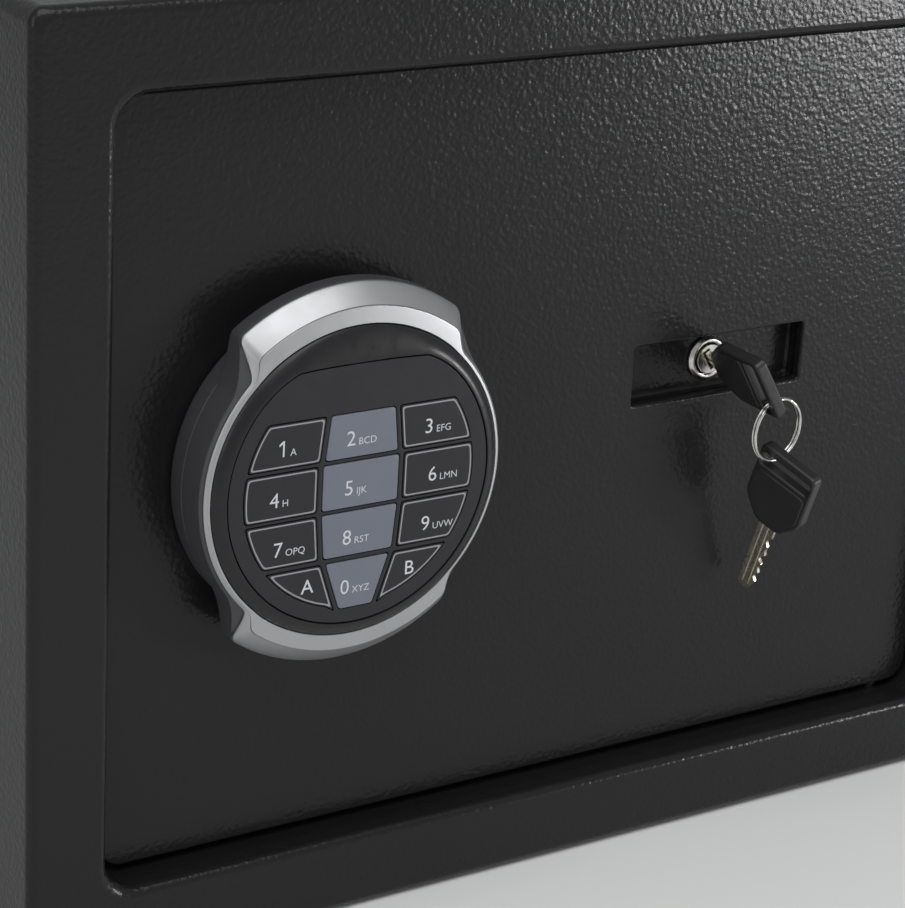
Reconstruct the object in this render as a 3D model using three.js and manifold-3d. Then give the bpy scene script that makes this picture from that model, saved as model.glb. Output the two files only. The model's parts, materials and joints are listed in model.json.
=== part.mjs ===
// Electronic home safe: steel body, recessed door with a rotary keypad handle, bolt work behind it,
// and an override lock that holds a key with a split ring and a spare key.
// Millimetres. The origin is the centre of the body's underside; the door faces -Y, +X is to the
// right of a person facing it, and +Z is up. The door is closed and its bolts are drawn back.
import * as THREE from "three";
import { mergeVertices } from "three/addons/utils/BufferGeometryUtils.js";
import Module from "manifold-3d";

const wasm = await Module();
wasm.setup();

// ---------------------------------------------------------------- driving dimensions
const GAP = 0.3; // between pieces that rest on each other
const BODY = { width: 380, depth: 300, height: 300, wall: 4, corner: 5 };
const FRAME = { border: 26, sheet: 3, lip: 26, corner: 10 };
const DOOR = { recess: 12, sheet: 4, gap: 2.5, hingeGap: 3, corner: 8 };
const TRAY = { left: -150, right: 142, bottom: 36, top: 264, wall: 1.5, depth: 36.4 };
const ANCHOR = { x: 120, radius: 6 };
const PIVOT = { x: 151, y: -130.5, radius: 3, hole: 3.4 };
const HANDLE = { x: -89.4, z: 153.4, standOff: 0.6 };
const FACE = { radius: 49.3, height: 22.9, crown: 2.3, panelRadius: 44.5, panelFlat: 38.5 };
const SKIRT = { radius: 51.2, wall: 4.2, floor: 3, sleeve: 46.2 };
const GRIP = { waist: 51.6, crease: 54.7, radius: 60.4, slope: 1.5, bevel: 7.1, depth: 14 };
const GRIP_ARC = { flat: 37.6, end: 55 }; // degrees from the vertical
const KEYS = {
  circle: 39.2, column: 2, lowest: 0.965, clearance: 0.35, thickness: 2.5, proud: 0.2,
};
const KEY_ROWS = [
  { top: 22.9, bottom: 9.1, halfTop: 10.8, halfBottom: 12.3, names: ["1", "2", "3"] },
  { top: 7.5, bottom: -6.8, halfTop: 12.9, halfBottom: 12.9, names: ["4", "5", "6"] },
  { top: -8.3, bottom: -22.3, halfTop: 12.9, halfBottom: 11.7, names: ["7", "8", "9"] },
  { top: -24.2, bottom: -39.5, halfTop: 10.8, halfBottom: 5.7, names: ["a", "0", "b"] },
];
const SPINDLE = { radius: 6, bore: 6.4, bush: 9, flange: 14 };
const CRANK = { reach: 20, angle: 30, sheet: 3, hub: 9, pin: 3, slot: 3.7 };
const BOLT = { radius: 8, bore: 8.5, tip: -155, y: -113, heights: [90, 210] };
const BAR = { left: -118, plate: -58, end: -18, front: -104, sheet: 3, bottom: 75, top: 225 };
const BAR_ARM = { bottom: 180, top: 196, notch: 7, plunger: -48 };
const TRAVEL = 20;
const STUD = { radius: 3.5, slot: 4, x: -92, heights: [112, 188] };
const SOLENOID = { x: -48, y: -102.5, bottom: 204, top: 232, half: 9, plunger: 3, bore: 3.5 };
const POCKET = { x: 62.2, z: 162.6, width: 69, height: 20.2, depth: 7.4, wall: 1.6 };
const LOCK = { flange: 7.75, barrel: 6.9, bore: 5.35, plug: 5, front: -132.6, back: -106 };
const BATTERY = { radius: 7, length: 50, pitch: 15.2, x: 43, z: 82, y: -106.4 };
const HATCH = { width: 59, height: 49, gap: 0.7 };
const KEY = {
  end: 11.6, waist: 11.8, waistAt: 6.7, neck: 5, halfLength: 14.5, thickness: 5, round: 2.2,
  slot: 10.4, slotHeight: 4.6, slotAt: -9, blade: 6.6, bladeLength: 28.5, bladeThickness: 2,
};
const KEY_IN_LOCK = { turn: 59, bowCentre: -152 };
const RING = { x: 70.85, y: -160.2, z: 145.7, outer: 11.1, inner: 9.9, width: 2.2, yaw: 8 };
const SPARE = { yaw: 73, tilt: 20, lean: 9, grip: -6.9, gripAt: -9.5 };

const FRONT = -BODY.depth / 2;
const DOOR_FACE = FRONT + DOOR.recess;
const DOOR_BACK = DOOR_FACE + DOOR.sheet;
const TRAY_FRONT = DOOR_BACK + GAP;
const COVER_FRONT = TRAY_FRONT + TRAY.depth + GAP;
const COVER_SHEET = 2;
const OPENING = { width: BODY.width - 2 * FRAME.border, height: BODY.height - 2 * FRAME.border };
const FACE_EDGE = DOOR_FACE - FACE.height;
const FACE_TOP = FACE_EDGE - FACE.crown;
const radians = THREE.MathUtils.degToRad;

// ---------------------------------------------------------------- finishes
const FINISHES = {
  powderCoat: [0x232325, 0.55, 0.3],
  innerPaint: [0x3a3b3d, 0.6, 0.3],
  zincSteel: [0xa8abb0, 0.4, 0.9],
  satinSilver: [0xc9cbcd, 0.35, 0.8],
  darkPlastic: [0x3c3d40, 0.5, 0.0],
  glossBlack: [0x161618, 0.25, 0.0],
  keyBlack: [0x1c1d20, 0.3, 0.0],
  keyBlue: [0x66718a, 0.4, 0.0],
  brass: [0xb59a5b, 0.35, 0.9],
  nickel: [0xd8d8da, 0.2, 1.0],
  board: [0x1f5a36, 0.5, 0.0],
  cell: [0x3b5f8f, 0.4, 0.3],
  felt: [0x4a4b50, 0.95, 0.0],
  lead: [0x9c1f1f, 0.6, 0.0],
};

function finish(name) {
  const [color, roughness, metalness] = FINISHES[name];
  return new THREE.MeshStandardMaterial({ color, roughness, metalness });
}

// ---------------------------------------------------------------- shape helpers
function signedVolume(positions, indices) {
  const corners = [new THREE.Vector3(), new THREE.Vector3(), new THREE.Vector3()];
  let sum = 0;
  for (let i = 0; i < indices.length; i += 3) {
    corners.forEach((corner, k) => corner.fromArray(positions, 3 * indices[i + k]));
    sum += corners[0].dot(corners[1].cross(corners[2]));
  }
  return sum;
}

// A closed geometry as a solid, its faces turned outwards.
function solid(geometry) {
  const bare = geometry.clone();
  bare.deleteAttribute("normal");
  bare.deleteAttribute("uv");
  const merged = mergeVertices(bare, 1e-4);
  const vertProperties = new Float32Array(merged.attributes.position.array);
  const triVerts = new Uint32Array(merged.index.array);
  if (signedVolume(vertProperties, triVerts) < 0) {
    for (let i = 0; i < triVerts.length; i += 3) {
      [triVerts[i + 1], triVerts[i + 2]] = [triVerts[i + 2], triVerts[i + 1]];
    }
  }
  return new wasm.Manifold(new wasm.Mesh({ numProp: 3, vertProperties, triVerts }));
}

function toGeometry(shape) {
  const mesh = shape.getMesh();
  const geometry = new THREE.BufferGeometry();
  geometry.setAttribute("position", new THREE.BufferAttribute(mesh.vertProperties, 3));
  geometry.setIndex(new THREE.BufferAttribute(mesh.triVerts, 1));
  const flat = geometry.toNonIndexed();
  flat.computeVertexNormals();
  return flat;
}

const join = (first, ...rest) => rest.reduce((sum, piece) => sum.add(piece), first);
const cut = (first, ...rest) => rest.reduce((left, piece) => left.subtract(piece), first);

function mesh(group, name, shape, finishName) {
  const piece = new THREE.Mesh(toGeometry(shape), finish(finishName));
  piece.name = name;
  group.add(piece);
  return piece;
}

function box(x0, x1, y0, y1, z0, z1) {
  const geometry = new THREE.BoxGeometry(x1 - x0, y1 - y0, z1 - z0);
  geometry.translate((x0 + x1) / 2, (y0 + y1) / 2, (z0 + z1) / 2);
  return solid(geometry);
}

// A cylinder along "x", "y" or "z" between two places on that axis; a and b are the other two
// coordinates, in X, Y, Z order.
function rod(axis, radius, from, to, a = 0, b = 0, sides = 24) {
  const geometry = new THREE.CylinderGeometry(radius, radius, to - from, sides);
  const middle = (from + to) / 2;
  if (axis === "x") {
    geometry.rotateZ(Math.PI / 2);
    geometry.translate(middle, a, b);
  } else if (axis === "y") {
    geometry.translate(a, middle, b);
  } else {
    geometry.rotateX(Math.PI / 2);
    geometry.translate(a, b, middle);
  }
  return solid(geometry);
}

function roundedRectangle(x0, x1, z0, z1, radius) {
  const shape = new THREE.Shape();
  shape.moveTo(x0 + radius, z0);
  shape.lineTo(x1 - radius, z0);
  shape.absarc(x1 - radius, z0 + radius, radius, -Math.PI / 2, 0);
  shape.lineTo(x1, z1 - radius);
  shape.absarc(x1 - radius, z1 - radius, radius, 0, Math.PI / 2);
  shape.lineTo(x0 + radius, z1);
  shape.absarc(x0 + radius, z1 - radius, radius, Math.PI / 2, Math.PI);
  shape.lineTo(x0, z0 + radius);
  shape.absarc(x0 + radius, z0 + radius, radius, Math.PI, 1.5 * Math.PI);
  return shape;
}

// A shape drawn in X and Z, given a thickness from one Y to a larger one.
function slab(shape, front, back, curveSegments = 6) {
  const geometry = new THREE.ExtrudeGeometry(shape, {
    depth: back - front, bevelEnabled: false, curveSegments,
  });
  geometry.rotateX(Math.PI / 2);
  geometry.translate(0, back, 0);
  return solid(geometry);
}

function roundedSlab(x0, x1, z0, z1, radius, front, back) {
  return slab(roundedRectangle(x0, x1, z0, z1, radius), front, back);
}

// A profile of [radius, y] points turned round the Y axis.
function turned(profile, sides = 48) {
  const points = profile.map(([radius, y]) => new THREE.Vector2(radius, y));
  return solid(new THREE.LatheGeometry(points, sides));
}

function outline(points) {
  return new THREE.Shape(points.map(([x, z]) => new THREE.Vector2(x, z)));
}

// ---------------------------------------------------------------- body
const safe = new THREE.Group();

function rectangle(width, height, radius, front, back) {
  const bottom = (BODY.height - height) / 2;
  return roundedSlab(-width / 2, width / 2, bottom, bottom + height, radius, front, back);
}

function hingeHoles() {
  return rod("z", PIVOT.hole, -1, BODY.height + 1, PIVOT.x, PIVOT.y, 24);
}

function addBody() {
  const { width, height, wall, corner } = BODY;
  const shellFront = FRONT + FRAME.sheet + GAP;
  const back = -FRONT;
  mesh(safe, "body_shell", cut(
    rectangle(width, height, corner, shellFront, back),
    rectangle(width - 2 * wall, height - 2 * wall, corner - 2, shellFront - 1, back + 1),
  ), "powderCoat");

  const { sheet, lip, corner: bend } = FRAME;
  const lipWidth = OPENING.width + 2 * sheet;
  const lipHeight = OPENING.height + 2 * sheet;
  mesh(safe, "front_frame", cut(
    join(
      rectangle(width, height, corner, FRONT, FRONT + sheet),
      rectangle(lipWidth, lipHeight, bend + sheet, FRONT + sheet / 2, FRONT + lip),
    ),
    rectangle(OPENING.width, OPENING.height, bend, FRONT - 1, back),
    rod("z", PIVOT.hole, FRAME.border - sheet - 1, height / 2, PIVOT.x, PIVOT.y, 24),
    rod("z", PIVOT.hole, height / 2, height - FRAME.border + sheet + 1, PIVOT.x, PIVOT.y, 24),
  ), "powderCoat");

  const inset = wall + GAP;
  const anchors = [-ANCHOR.x, ANCHOR.x].map((x) => (
    rod("y", ANCHOR.radius, back - 10, back + 1, x, height / 2, 24)
  ));
  mesh(safe, "back_panel", cut(
    rectangle(width - 2 * inset, height - 2 * inset, corner - 2, back - wall, back),
    ...anchors,
  ), "powderCoat");
  const bracket = { left: -9, right: 11, front: -9, back: 5 };
  const seat = BODY.height - FRAME.border + sheet + GAP;
  const thickness = 12;
  const brackets = [
    { name: "hinge_bracket_lower", from: BODY.height - seat - thickness, to: BODY.height - seat },
    { name: "hinge_bracket_upper", from: seat, to: seat + thickness },
  ];
  for (const { name, from, to } of brackets) {
    mesh(safe, name, cut(
      box(
        PIVOT.x + bracket.left, PIVOT.x + bracket.right,
        PIVOT.y + bracket.front, PIVOT.y + bracket.back, from, to,
      ),
      hingeHoles(),
    ), "zincSteel");
  }

  mesh(safe, "floor_mat", box(
    -width / 2 + wall + 2, width / 2 - wall - 2, FRONT + FRAME.lip + 4, back - wall - 2,
    wall + GAP, wall + GAP + 2,
  ), "felt");
}

// ---------------------------------------------------------------- door
const door = new THREE.Group();

function pocketEdges(margin) {
  return [
    POCKET.x - POCKET.width / 2 - margin, POCKET.x + POCKET.width / 2 + margin,
    POCKET.z - POCKET.height / 2 - margin, POCKET.z + POCKET.height / 2 + margin,
  ];
}

function pocketBlock(margin, front, back) {
  const [x0, x1, z0, z1] = pocketEdges(margin);
  return box(x0, x1, front, back, z0, z1);
}

function addDoorSheets() {
  const left = -OPENING.width / 2 + DOOR.gap;
  const right = OPENING.width / 2 - DOOR.hingeGap;
  const bottom = FRAME.border + DOOR.gap;
  const top = BODY.height - bottom;
  mesh(door, "door_plate", cut(
    roundedSlab(left, right, bottom, top, DOOR.corner, DOOR_FACE, DOOR_BACK),
    pocketBlock(0, DOOR_FACE - 1, DOOR_BACK + 1),
    rod("y", SPINDLE.bush + 0.5, DOOR_FACE - 1, DOOR_BACK + 1, HANDLE.x, HANDLE.z),
  ), "powderCoat");

  const { left: x0, right: x1, bottom: z0, top: z1, wall } = TRAY;
  const trayBack = TRAY_FRONT + TRAY.depth;
  const boltHoles = BOLT.heights.map((z) => rod("x", BOLT.bore, x0 - 5, x0 + 5, BOLT.y, z, 24));
  mesh(door, "door_tray", cut(
    roundedSlab(x0, x1, z0, z1, 4, TRAY_FRONT, trayBack),
    roundedSlab(x0 + wall, x1 - wall, z0 + wall, z1 - wall, 2.5, TRAY_FRONT - 1, trayBack + 1),
    ...boltHoles,
  ), "innerPaint");

  mesh(door, "door_inner_cover", cut(
    roundedSlab(x0, x1, z0, z1, 4, COVER_FRONT, COVER_FRONT + COVER_SHEET),
    batteryHatch(HATCH.gap, COVER_FRONT - 1, COVER_FRONT + COVER_SHEET + 1),
  ), "innerPaint");
}

function addHinges() {
  const lug = { x0: PIVOT.x - 6, x1: PIVOT.x + 6, y1: PIVOT.y + 5, height: 13, end: 268 };
  const pinEnd = BODY.height - FRAME.border + FRAME.sheet + 9;
  for (const side of ["lower", "upper"]) {
    const block = box(lug.x0, lug.x1, TRAY_FRONT, lug.y1, lug.end - lug.height, lug.end);
    const pin = rod("z", PIVOT.radius, lug.end - 1, pinEnd, PIVOT.x, PIVOT.y, 24);
    const piece = mesh(door, `hinge_pivot_${side}`, join(block, pin), "zincSteel");
    if (side === "lower") {
      // The lower pivot is the upper one turned end for end about the pivot's own line.
      piece.geometry.rotateY(Math.PI);
      piece.geometry.translate(2 * PIVOT.x, 0, BODY.height);
    }
  }
}

function addLock() {
  const floor = DOOR_FACE + POCKET.depth;
  const floorBack = floor + POCKET.wall;
  mesh(door, "lock_pocket", cut(
    join(
      pocketBlock(5, TRAY_FRONT, TRAY_FRONT + 1.2),
      pocketBlock(POCKET.wall, TRAY_FRONT, floorBack),
    ),
    pocketBlock(0, TRAY_FRONT - 1, floor),
    rod("y", LOCK.barrel + GAP, floor - 1, floorBack + 1, POCKET.x, POCKET.z),
  ), "powderCoat");

  mesh(door, "lock_housing", cut(
    join(
      rod("y", LOCK.flange, LOCK.front, floor - GAP, POCKET.x, POCKET.z),
      rod("y", LOCK.barrel, LOCK.front + 0.5, LOCK.back, POCKET.x, POCKET.z),
    ),
    rod("y", LOCK.bore, LOCK.front - 1, LOCK.back + 1, POCKET.x, POCKET.z),
  ), "nickel");

  const nutFront = floorBack + GAP;
  mesh(door, "lock_nut", cut(
    rod("y", 10.5, nutFront, nutFront + 4, POCKET.x, POCKET.z, 6),
    rod("y", LOCK.barrel + GAP, nutFront - 1, nutFront + 5, POCKET.x, POCKET.z),
  ), "nickel");
}

function addBoltGuides() {
  const wallInside = TRAY.left + TRAY.wall + GAP;
  BOLT.heights.forEach((z, i) => {
    const side = i === 0 ? "lower" : "upper";
    mesh(door, `bolt_guide_${side}`, cut(
      rod("x", BOLT.bore + 3.5, wallInside, wallInside + 6, BOLT.y, z, 24),
      rod("x", BOLT.bore, wallInside - 1, wallInside + 7, BOLT.y, z, 24),
    ), "zincSteel");
  });
  STUD.heights.forEach((z, i) => {
    const side = i === 0 ? "lower" : "upper";
    mesh(door, `bar_stud_${side}`, join(
      rod("y", STUD.radius, TRAY_FRONT, BAR.front + BAR.sheet + 1, STUD.x, z, 24),
      rod("y", STUD.radius + 3, TRAY_FRONT, BAR.front - 0.5, STUD.x, z, 24),
    ), "zincSteel");
  });
  mesh(door, "spindle_bush", cut(
    join(
      rod("y", SPINDLE.bush, DOOR_FACE - 1, DOOR_BACK + 6, HANDLE.x, HANDLE.z),
      rod("y", SPINDLE.flange, DOOR_FACE - 3.5, DOOR_FACE - GAP, HANDLE.x, HANDLE.z),
    ),
    rod("y", SPINDLE.bore, DOOR_FACE - 5, DOOR_BACK + 7, HANDLE.x, HANDLE.z),
  ), "brass");
}

function batteryHatch(margin, front, back) {
  const halfX = HATCH.width / 2 + margin;
  const halfZ = HATCH.height / 2 + margin;
  return box(
    BATTERY.x - halfX, BATTERY.x + halfX, front, back, BATTERY.z - halfZ, BATTERY.z + halfZ,
  );
}

function addElectrics() {
  const halfX = 2 * BATTERY.pitch;
  const halfZ = BATTERY.length / 2 + 1;
  const holder = { front: BATTERY.y - BATTERY.radius - 2.5, back: COVER_FRONT - 1.5, wall: 1.8 };
  const cavity = (margin, front, back) => box(
    BATTERY.x - halfX - margin, BATTERY.x + halfX + margin, front, back,
    BATTERY.z - halfZ - margin, BATTERY.z + halfZ + margin,
  );
  mesh(door, "battery_holder", cut(
    join(
      cavity(holder.wall, holder.front, holder.back),
      cavity(-8, TRAY_FRONT, holder.front + 0.5),
    ),
    cavity(0, holder.front + holder.wall, holder.back + 1),
  ), "darkPlastic");
  for (let i = 0; i < 4; i += 1) {
    const x = BATTERY.x + (i - 1.5) * BATTERY.pitch;
    const base = BATTERY.z - BATTERY.length / 2;
    const tip = BATTERY.z + BATTERY.length / 2;
    mesh(door, `battery_${i + 1}`, join(
      rod("z", BATTERY.radius, base, tip - 1.5, x, BATTERY.y, 20),
      rod("z", 2.6, tip - 2, tip, x, BATTERY.y, 12),
    ), "cell");
  }

  const board = { x0: -8, x1: 86, z0: 196, z1: 250, y: TRAY_FRONT + 3 };
  mesh(door, "control_board", join(
    box(board.x0, board.x1, board.y, board.y + 1.6, board.z0, board.z1),
    box(board.x0 + 14, board.x0 + 34, board.y + 1, board.y + 4, board.z0 + 12, board.z0 + 32),
    box(board.x1 - 26, board.x1 - 8, board.y + 1, board.y + 10, board.z0 + 6, board.z0 + 16),
    box(board.x0 + 2, board.x0 + 8, TRAY_FRONT, board.y + 0.5, board.z0 + 2, board.z0 + 8),
    box(board.x1 - 8, board.x1 - 2, TRAY_FRONT, board.y + 0.5, board.z1 - 8, board.z1 - 2),
  ), "board");

  const { x, y, bottom, top, half, bore } = SOLENOID;
  mesh(door, "solenoid_body", cut(
    join(
      box(x - half, x + half, y - 6.5, y + 4.5, bottom, top),
      box(x - half, x + half, TRAY_FRONT, y - 6, top - 6, top),
    ),
    rod("z", bore, bottom - 1, top - 4, x, y, 20),
  ), "zincSteel");

  addLead("solenoid_lead", [
    [x + half + 1.2, y - 4, top - 10], [x + half + 12, y - 8, top - 8],
    [board.x0 + 6, board.y + 10, board.z1 - 16], [board.x0 + 10, board.y + 3.4, board.z1 - 20],
  ]);
  addLead("battery_lead", [
    [BATTERY.x + 50, BATTERY.y - 6, BATTERY.z + 20], [BATTERY.x + 62, BATTERY.y - 8, BATTERY.z + 50],
    [BATTERY.x + 62, board.y + 12, board.z0 - 16], [board.x1 - 16, board.y + 12, board.z0 + 3],
  ]);
}

// An insulated lead clipped inside the door, along a smooth curve through the points.
function addLead(name, points) {
  const curve = new THREE.CatmullRomCurve3(points.map((point) => new THREE.Vector3(...point)));
  const section = new THREE.Shape();
  section.absarc(0, 0, 1, 0, 2 * Math.PI);
  mesh(door, name, solid(new THREE.ExtrudeGeometry(section, {
    steps: 14, curveSegments: 3, extrudePath: curve,
  })), "lead");
}

// ---------------------------------------------------------------- handle with its keypad
const handle = new THREE.Group();
handle.position.set(HANDLE.x, 0, HANDLE.z);

// Outer radius of the grip collar at an angle in degrees from the nearer lobe's middle.
function gripRadius(angle) {
  if (angle <= GRIP_ARC.flat) return GRIP.radius;
  if (angle >= GRIP_ARC.end) return GRIP.waist;
  const rest = (GRIP_ARC.end - angle) / (GRIP_ARC.end - GRIP_ARC.flat);
  return GRIP.waist + (GRIP.radius - GRIP.waist) * rest * rest;
}

function gripOutline() {
  const points = [];
  for (let turn = 0; turn < 360; turn += 4) {
    const fromVertical = Math.abs(((turn + 90) % 180) - 90);
    const radius = gripRadius(fromVertical);
    points.push([radius * Math.sin(radians(turn)), radius * Math.cos(radians(turn))]);
  }
  return outline(points);
}

// The panel's outline: a circle with a flat across its top, its edge moved out by margin.
function panelBlock(margin, front, back) {
  const disc = rod("y", FACE.panelRadius + margin, front, back, 0, 0, 48);
  const top = FACE.panelFlat + margin;
  return cut(disc, box(-60, 60, front - 1, back + 1, top, top + 20));
}

function addHandleBody() {
  const back = DOOR_FACE - HANDLE.standOff;
  const gripFront = FACE_EDGE;
  const gripBack = FACE_EDGE + GRIP.depth;
  const skirtFront = gripBack + GAP;
  const inside = SKIRT.radius - SKIRT.wall;
  const sleeveFront = FACE_EDGE + 3.9;
  mesh(handle, "handle_body", turned([
    [0, skirtFront + SKIRT.floor], [inside, skirtFront + SKIRT.floor], [inside, back],
    [SKIRT.radius, back], [SKIRT.radius, skirtFront], [SKIRT.sleeve, skirtFront],
    [SKIRT.sleeve, sleeveFront], [SKIRT.sleeve - 3, sleeveFront], [SKIRT.sleeve - 3, skirtFront],
    [0, skirtFront],
  ]), "darkPlastic");

  const crown = turned([
    [0, gripBack], [GRIP.radius, gripBack], [GRIP.radius, FACE_EDGE + GRIP.bevel],
    [GRIP.crease, FACE_EDGE + GRIP.slope], [FACE.radius, gripFront], [0, gripFront],
  ], 72);
  const seat = sleeveFront - GAP;
  mesh(handle, "grip_collar", cut(
    slab(gripOutline(), gripFront - 1, gripBack).intersect(crown),
    rod("y", SKIRT.sleeve + GAP, gripFront - 2, gripBack + 1, 0, 0, 48),
    rod("y", FACE.radius, gripFront - 2, seat, 0, 0, 48),
  ), "satinSilver");

  mesh(handle, "face_bezel", cut(
    turned([
      [0, seat - GAP], [FACE.radius - GAP, seat - GAP], [FACE.radius - GAP, FACE_EDGE],
      [FACE.panelRadius + 0.4, FACE_TOP], [0, FACE_TOP],
    ]),
    panelBlock(GAP, FACE_TOP - 1, seat),
  ), "glossBlack");
}

// A key's outline, edge moved out by margin; side is -1, 0 or 1 for the left, centre or right column.
function keyOutline(row, side, margin) {
  const top = row.top + margin;
  const bottom = row.bottom - margin;
  if (side === 0) {
    const wide = row.halfTop + margin;
    const low = row.halfBottom + margin;
    return outline([[-wide, top], [wide, top], [low, bottom], [-low, bottom]]);
  }
  const inner = KEYS.column - margin;
  const radius = KEYS.circle + margin;
  const points = [[side * (row.halfTop + inner), top], [side * (row.halfBottom + inner), bottom]];
  const from = Math.asin(Math.max(bottom / radius, -KEYS.lowest));
  const to = Math.asin(top / radius);
  const steps = 5;
  for (let i = 0; i <= steps; i += 1) {
    const angle = from + ((to - from) * i) / steps;
    points.push([side * radius * Math.cos(angle), radius * Math.sin(angle)]);
  }
  return outline(points);
}

function addKeypad() {
  const panelFront = FACE_TOP + KEYS.proud;
  const panelBack = panelFront + 2.6;
  const holes = [];
  for (const row of KEY_ROWS) {
    row.names.forEach((name, column) => {
      holes.push(slab(keyOutline(row, column - 1, KEYS.clearance), panelFront - 1, panelBack + 1));
      mesh(handle, `key_${name}`,
        slab(keyOutline(row, column - 1, 0), FACE_TOP, FACE_TOP + KEYS.thickness),
        column === 1 ? "keyBlue" : "keyBlack");
    });
  }
  mesh(handle, "key_panel", cut(panelBlock(0, panelFront, panelBack), ...holes), "glossBlack");
  mesh(handle, "keypad_board", rod("y", 42.4, FACE_TOP + 6.4, FACE_TOP + 8, 0, 0, 40), "board");
}

function addSpindle() {
  const floorBack = FACE_EDGE + GRIP.depth + GAP + SKIRT.floor;
  const armBack = BAR.front - 1;
  const armFront = armBack - CRANK.sheet;
  mesh(handle, "handle_spindle",
    rod("y", SPINDLE.radius, floorBack + GAP, armFront - GAP), "zincSteel");

  const angle = radians(CRANK.angle);
  const pin = { x: CRANK.reach * Math.sin(angle), z: CRANK.reach * Math.cos(angle) };
  const arm = slab(
    roundedRectangle(-5.5, 5.5, -5.5, CRANK.reach + 5.5, 5.4), armFront, armBack,
  ).rotate([0, CRANK.angle, 0]);
  mesh(handle, "crank_arm",
    join(arm, rod("y", CRANK.hub, armFront, armBack)), "zincSteel");
  mesh(handle, "drive_pin",
    rod("y", CRANK.pin, armBack + GAP, BAR.front + BAR.sheet + 1.5, pin.x, pin.z, 20), "zincSteel");
}

// ---------------------------------------------------------------- bolt work
const boltWork = new THREE.Group();

function addBoltWork() {
  const { left, plate, end, front, sheet, bottom, top } = BAR;
  const back = front + sheet;
  const angle = radians(CRANK.angle);
  const pin = {
    x: HANDLE.x + CRANK.reach * Math.sin(angle), z: HANDLE.z + CRANK.reach * Math.cos(angle),
  };
  const pinTop = HANDLE.z + CRANK.reach + CRANK.pin + 1;
  const studSlots = STUD.heights.map((z) => roundedSlab(
    STUD.x - STUD.slot, STUD.x + TRAVEL + STUD.slot, z - STUD.slot, z + STUD.slot, 3.9,
    front - 1, back + 1,
  ));
  const notch = (x) => box(
    x - 4, x + 4, front - 1, back + 1, BAR_ARM.top - BAR_ARM.notch, BAR_ARM.top + 1,
  );
  mesh(boltWork, "bolt_bar", cut(
    join(
      box(left, plate, front, back, bottom, top),
      box(left, left + sheet, BOLT.y - BOLT.radius, back, bottom, top),
      box(plate - 1, end, front, back, BAR_ARM.bottom, BAR_ARM.top),
    ),
    box(pin.x - CRANK.slot, pin.x + CRANK.slot, front - 1, back + 1, pin.z - CRANK.pin - 1, pinTop),
    ...studSlots,
    notch(BAR_ARM.plunger),
    notch(BAR_ARM.plunger + TRAVEL),
  ), "zincSteel");
  BOLT.heights.forEach((z, i) => {
    const side = i === 0 ? "lower" : "upper";
    mesh(boltWork, `locking_bolt_${side}`, join(
      rod("x", BOLT.radius, BOLT.tip + 1.5, left - GAP, BOLT.y, z, 24),
      rod("x", BOLT.radius - 1.5, BOLT.tip, BOLT.tip + 2, BOLT.y, z, 24),
    ), "nickel");
  });
}

function addPlunger() {
  const { x, y, top, plunger } = SOLENOID;
  mesh(door, "solenoid_plunger",
    rod("z", plunger, BAR_ARM.top + 1.5, top - 8, x, y, 20), "nickel");
}

// ---------------------------------------------------------------- keys, lock plug and ring
// A key lies in X and Y with its bow's centre at the origin and its blade towards +Y.
function bowShape() {
  const { end, waist, waistAt, neck, halfLength } = KEY;
  const right = [[end, -halfLength], [waist, waistAt], [neck, halfLength]];
  const left = right.map(([x, y]) => [-x, y]).reverse();
  const corners = [...right, ...left].map(([x, y]) => new THREE.Vector2(x, y));
  const shape = new THREE.Shape();
  corners.forEach((corner, i) => {
    const before = corners[(i + corners.length - 1) % corners.length];
    const after = corners[(i + 1) % corners.length];
    const enter = corner.clone().lerp(before, KEY.round / corner.distanceTo(before));
    const leave = corner.clone().lerp(after, KEY.round / corner.distanceTo(after));
    if (i === 0) shape.moveTo(enter.x, enter.y);
    else shape.lineTo(enter.x, enter.y);
    shape.quadraticCurveTo(corner.x, corner.y, leave.x, leave.y);
  });
  const half = KEY.slotHeight / 2;
  const hole = roundedRectangle(-KEY.slot, KEY.slot, KEY.slotAt - half, KEY.slotAt + half, 1);
  shape.holes.push(hole);
  return shape;
}

function addKey(group, letter) {
  const bow = new THREE.ExtrudeGeometry(bowShape(), {
    depth: KEY.thickness, bevelEnabled: false, curveSegments: 4,
  });
  bow.translate(0, 0, -KEY.thickness / 2);
  mesh(group, `key_bow_${letter}`, solid(bow), "glossBlack");

  const half = KEY.blade / 2;
  const start = KEY.halfLength + GAP;
  const end = start + KEY.bladeLength;
  const blade = new THREE.Shape();
  blade.moveTo(-half, start);
  blade.lineTo(half, start);
  const teeth = 5;
  const pitch = (KEY.bladeLength - 9) / teeth;
  for (let i = 0; i < teeth; i += 1) {
    const from = start + 5 + i * pitch;
    blade.lineTo(half, from);
    blade.lineTo(half - (i % 2 === 0 ? 1.6 : 1), from + pitch / 2);
  }
  blade.lineTo(half, end - 4);
  blade.lineTo(half - 2.4, end);
  blade.lineTo(-half + 1, end);
  blade.lineTo(-half, end - 1);
  const plate = new THREE.ExtrudeGeometry(blade, {
    depth: KEY.bladeThickness, bevelEnabled: false,
  });
  plate.translate(0, 0, -KEY.bladeThickness / 2);
  mesh(group, `key_blade_${letter}`, solid(plate), "brass");
}

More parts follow.
